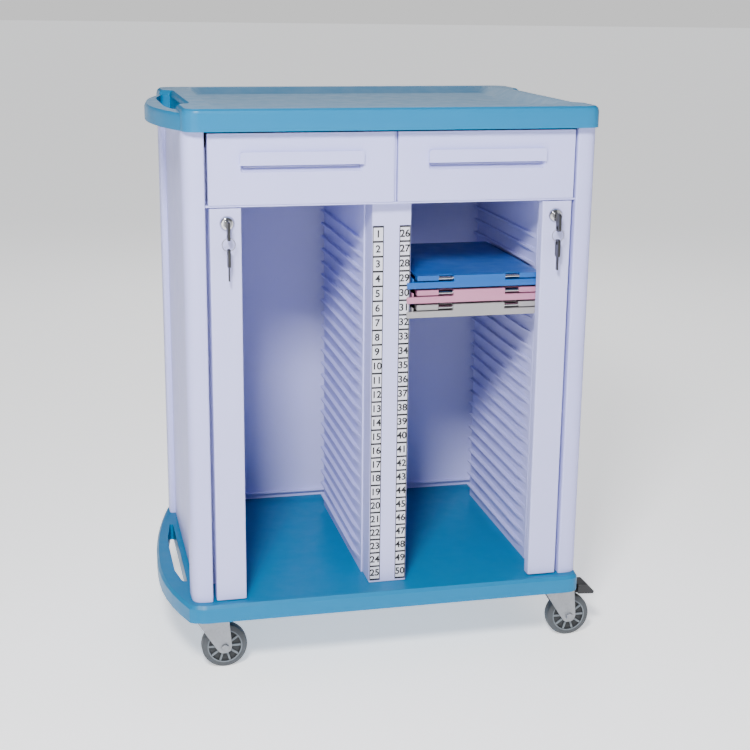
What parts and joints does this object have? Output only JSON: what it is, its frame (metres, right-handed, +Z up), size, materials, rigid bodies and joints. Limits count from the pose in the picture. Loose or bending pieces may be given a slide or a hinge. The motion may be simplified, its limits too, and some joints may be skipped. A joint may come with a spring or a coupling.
{
  "type": "patient record trolley",
  "caption": "Wheeled patient-record chart trolley with moulded trays, two drawers, two open ledged chart bays, hinged lock bars and swivel casters.",
  "frame": {"origin": "middle of the footprint at floor level", "axes": "+X to the right seen from the front, +Y to the rear, +Z up"},
  "size_m": [0.7798, 0.535, 0.968],
  "materials": {
    "cyan_abs": "glossy moulded ABS",
    "lilac_abs": "satin moulded ABS",
    "lilac_paint": "satin powder coat",
    "zinc_steel": "zinc plated pressed steel",
    "chrome": "polished plating",
    "wheel_rubber": "moulded thermoplastic rubber",
    "black_plastic": "moulded black plastic",
    "chart_blue": "smooth moulded ABS",
    "chart_pink": "smooth moulded ABS",
    "chart_grey": "smooth moulded ABS"
  },
  "bodies": {
    "cabinet": {"top_tray": "cyan_abs", "base_tray": "cyan_abs", "back_panel": "lilac_abs", "centre_post": "lilac_paint", "drawer_deck": "lilac_abs", "front_column_left": "lilac_abs", "rear_column_left": "lilac_abs", "side_panel_left": "lilac_abs", "inner_ledges_left": "lilac_abs", "outer_ledges_left": "lilac_abs", "front_column_right": "lilac_abs", "rear_column_right": "lilac_abs", "side_panel_right": "lilac_abs", "inner_ledges_right": "lilac_abs", "outer_ledges_right": "lilac_abs", "caster_plate_front_left": "zinc_steel", "caster_plate_front_right": "zinc_steel", "caster_plate_rear_left": "zinc_steel", "caster_plate_rear_right": "zinc_steel", "chart_tray_blue": "chart_blue", "chart_pin_blue": "chrome", "chart_tray_pink": "chart_pink", "chart_pin_pink": "chrome", "chart_tray_grey": "chart_grey", "chart_pin_grey": "chrome", "chart_cover_pink": "chart_pink", "chart_cover_grey": "chart_grey"},
    "drawer_left": {"drawer_box_left": "lilac_abs", "drawer_front_left": "lilac_abs"},
    "drawer_right": {"drawer_box_right": "lilac_abs", "drawer_front_right": "lilac_abs"},
    "bar_left": {"lock_bar_left": "lilac_paint", "lock_housing_left": "chrome"},
    "plug_left": {"lock_plug_left": "chrome", "key_left": "black_plastic"},
    "ring_left": {"key_ring_left": "chrome"},
    "spare_left": {"spare_key_left": "black_plastic"},
    "bar_right": {"lock_bar_right": "lilac_paint", "lock_housing_right": "chrome"},
    "plug_right": {"lock_plug_right": "chrome", "key_right": "black_plastic"},
    "ring_right": {"key_ring_right": "chrome"},
    "spare_right": {"spare_key_right": "black_plastic"},
    "swivel_front_left": {"caster_fork_front_left": "zinc_steel", "caster_axle_front_left": "zinc_steel"},
    "wheel_front_left": {"caster_wheel_front_left": "wheel_rubber"},
    "swivel_front_right": {"caster_fork_front_right": "zinc_steel", "caster_axle_front_right": "zinc_steel"},
    "wheel_front_right": {"caster_wheel_front_right": "wheel_rubber"},
    "pedal_front_right": {"brake_pedal_front_right": "black_plastic"},
    "swivel_rear_left": {"caster_fork_rear_left": "zinc_steel", "caster_axle_rear_left": "zinc_steel"},
    "wheel_rear_left": {"caster_wheel_rear_left": "wheel_rubber"},
    "swivel_rear_right": {"caster_fork_rear_right": "zinc_steel", "caster_axle_rear_right": "zinc_steel"},
    "wheel_rear_right": {"caster_wheel_rear_right": "wheel_rubber"},
    "pedal_rear_right": {"brake_pedal_rear_right": "black_plastic"},
    "cover_blue": {"chart_cover_blue": "chart_blue"}
  },
  "joints": [
    {"name": "drawer_left_slide", "type": "slide", "parent": "cabinet", "child": "drawer_left", "axis": [0, -1, 0], "range_m": [0, 0.3]},
    {"name": "drawer_right_slide", "type": "slide", "parent": "cabinet", "child": "drawer_right", "axis": [0, -1, 0], "range_m": [0, 0.3]},
    {"name": "bar_left_hinge", "type": "hinge", "parent": "cabinet", "child": "bar_left", "pos_m": [-0.29892, -0.2345, 0.477], "axis": [0, 0, -1], "range_deg": [0, 90]},
    {"name": "lock_left_turn", "type": "hinge", "parent": "bar_left", "child": "plug_left", "pos_m": [-0.27692, -0.2425, 0.788], "axis": [0, -1, 0], "range_deg": [0, 90]},
    {"name": "key_ring_left_swing", "type": "hinge", "parent": "plug_left", "child": "ring_left", "pos_m": [-0.27692, -0.2595, 0.767], "axis": [1, 0, 0], "range_deg": [-15, 6]},
    {"name": "spare_key_left_swing", "type": "hinge", "parent": "ring_left", "child": "spare_left", "pos_m": [-0.27692, -0.2595, 0.746], "axis": [1, 0, 0], "range_deg": [-20, 6]},
    {"name": "bar_right_hinge", "type": "hinge", "parent": "cabinet", "child": "bar_right", "pos_m": [0.29508, -0.2345, 0.477], "axis": [0, 0, 1], "range_deg": [0, 90]},
    {"name": "lock_right_turn", "type": "hinge", "parent": "bar_right", "child": "plug_right", "pos_m": [0.27308, -0.2425, 0.788], "axis": [0, 1, 0], "range_deg": [0, 90]},
    {"name": "key_ring_right_swing", "type": "hinge", "parent": "plug_right", "child": "ring_right", "pos_m": [0.27308, -0.2595, 0.767], "axis": [1, 0, 0], "range_deg": [-15, 6]},
    {"name": "spare_key_right_swing", "type": "hinge", "parent": "ring_right", "child": "spare_right", "pos_m": [0.27308, -0.2595, 0.746], "axis": [1, 0, 0], "range_deg": [-20, 6]},
    {"name": "caster_front_left_swivel", "type": "hinge", "parent": "cabinet", "child": "swivel_front_left", "pos_m": [-0.31892, -0.1955, 0.108], "axis": [0, 0, 1], "continuous": true},
    {"name": "caster_front_left_roll", "type": "hinge", "parent": "swivel_front_left", "child": "wheel_front_left", "pos_m": [-0.28892, -0.1955, 0.04], "axis": [0, 1, 0], "continuous": true},
    {"name": "caster_front_right_swivel", "type": "hinge", "parent": "cabinet", "child": "swivel_front_right", "pos_m": [0.31508, -0.1955, 0.108], "axis": [0, 0, 1], "continuous": true},
    {"name": "caster_front_right_roll", "type": "hinge", "parent": "swivel_front_right", "child": "wheel_front_right", "pos_m": [0.34508, -0.1955, 0.04], "axis": [0, 1, 0], "continuous": true},
    {"name": "brake_front_right_press", "type": "hinge", "parent": "swivel_front_right", "child": "pedal_front_right", "pos_m": [0.34208, -0.1955, 0.096], "axis": [0, 1, 0], "range_deg": [0, 12]},
    {"name": "caster_rear_left_swivel", "type": "hinge", "parent": "cabinet", "child": "swivel_rear_left", "pos_m": [-0.31892, 0.1975, 0.108], "axis": [0, 0, 1], "continuous": true},
    {"name": "caster_rear_left_roll", "type": "hinge", "parent": "swivel_rear_left", "child": "wheel_rear_left", "pos_m": [-0.28892, 0.1975, 0.04], "axis": [0, 1, 0], "continuous": true},
    {"name": "caster_rear_right_swivel", "type": "hinge", "parent": "cabinet", "child": "swivel_rear_right", "pos_m": [0.31508, 0.1975, 0.108], "axis": [0, 0, 1], "continuous": true},
    {"name": "caster_rear_right_roll", "type": "hinge", "parent": "swivel_rear_right", "child": "wheel_rear_right", "pos_m": [0.34508, 0.1975, 0.04], "axis": [0, 1, 0], "continuous": true},
    {"name": "brake_rear_right_press", "type": "hinge", "parent": "swivel_rear_right", "child": "pedal_rear_right", "pos_m": [0.34208, 0.1975, 0.096], "axis": [0, 1, 0], "range_deg": [0, 12]},
    {"name": "blue_cover_lift", "type": "hinge", "parent": "cabinet", "child": "cover_blue", "pos_m": [0.15108, -0.215, 0.6817], "axis": [1, 0, 0], "range_deg": [0, 20]}
  ]
}
